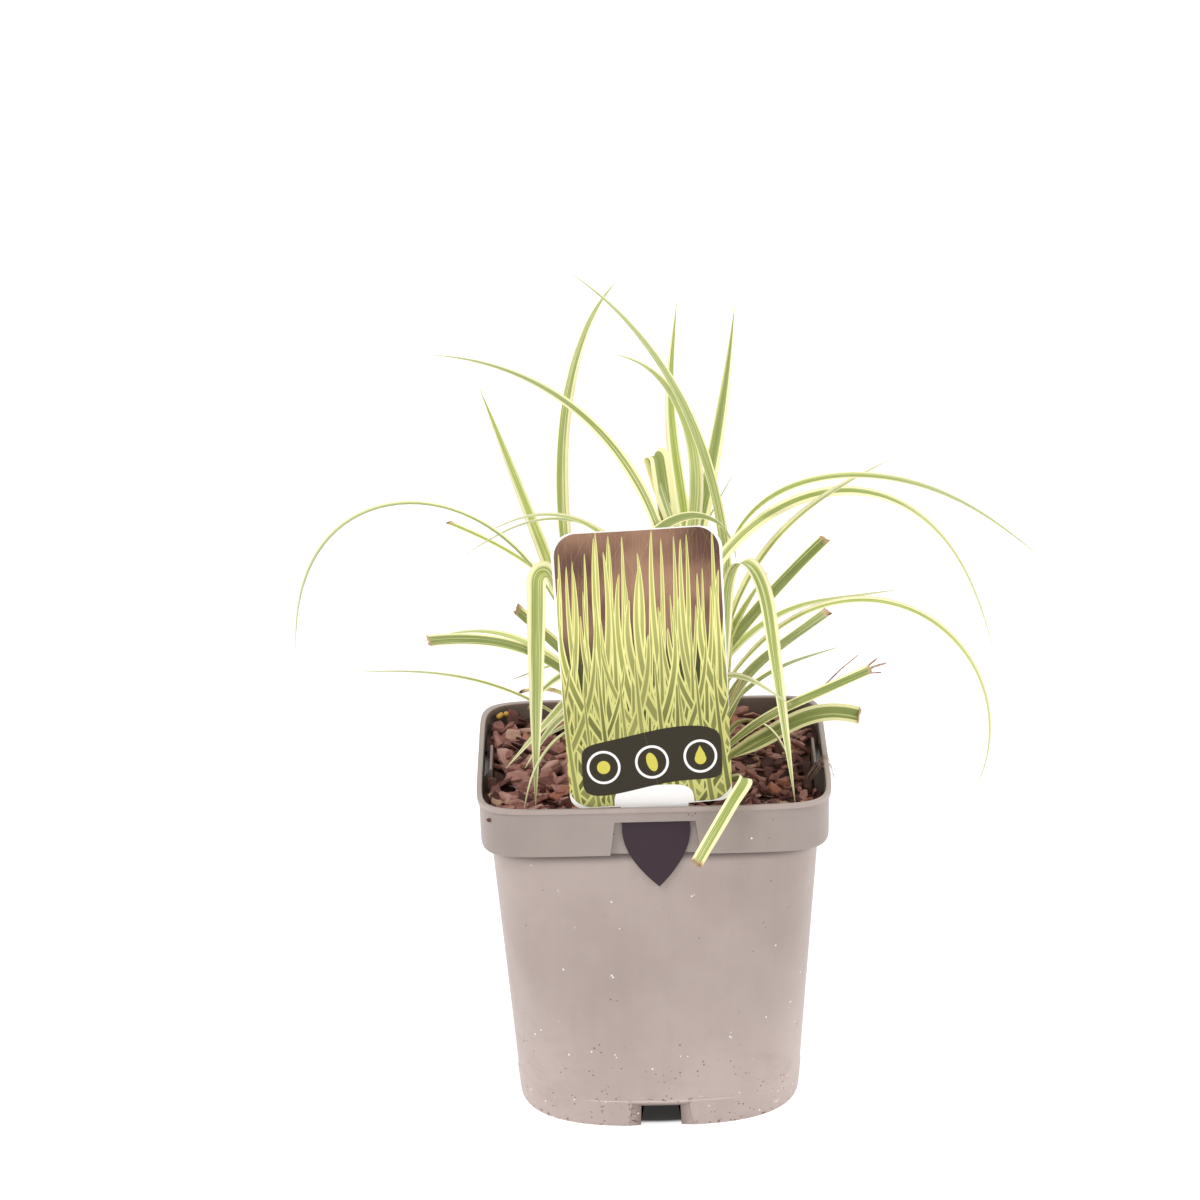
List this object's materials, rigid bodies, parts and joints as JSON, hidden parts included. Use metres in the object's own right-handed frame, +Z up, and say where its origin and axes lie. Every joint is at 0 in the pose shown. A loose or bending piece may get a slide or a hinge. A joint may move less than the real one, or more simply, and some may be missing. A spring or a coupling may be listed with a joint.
{
  "type": "potted carex sedge",
  "caption": "Clump of variegated arching sedge leaves in a tapered square-round plastic nursery pot with bark mulch and a plant label.",
  "frame": {"origin": "middle of the pot's base, on the ground", "axes": "+Z up, -Y towards the front of the pot where the label stands, +X to the right seen from the front"},
  "size_m": [0.3629, 0.2774, 0.4169],
  "materials": {
    "pot_plastic": "moulded taupe polypropylene, satin, with fine speckles",
    "soil": "dark crumbly potting soil",
    "bark": "reddish brown pine bark chips, dry and matt",
    "label_card": "printed plastic card with a thin white edge",
    "leaf": "satin leaf, green with pale yellow margins"
  },
  "bodies": {
    "root": {"pot": "pot_plastic", "soil": "soil", "bark_mulch": "bark", "plant_label": "label_card", "shoot_01": "leaf", "shoot_02": "leaf", "shoot_03": "leaf", "shoot_04": "leaf", "shoot_05": "leaf", "shoot_06": "leaf", "shoot_07": "leaf", "shoot_08": "leaf", "shoot_09": "leaf", "shoot_10": "leaf", "shoot_11": "leaf"}
  },
  "joints": []
}
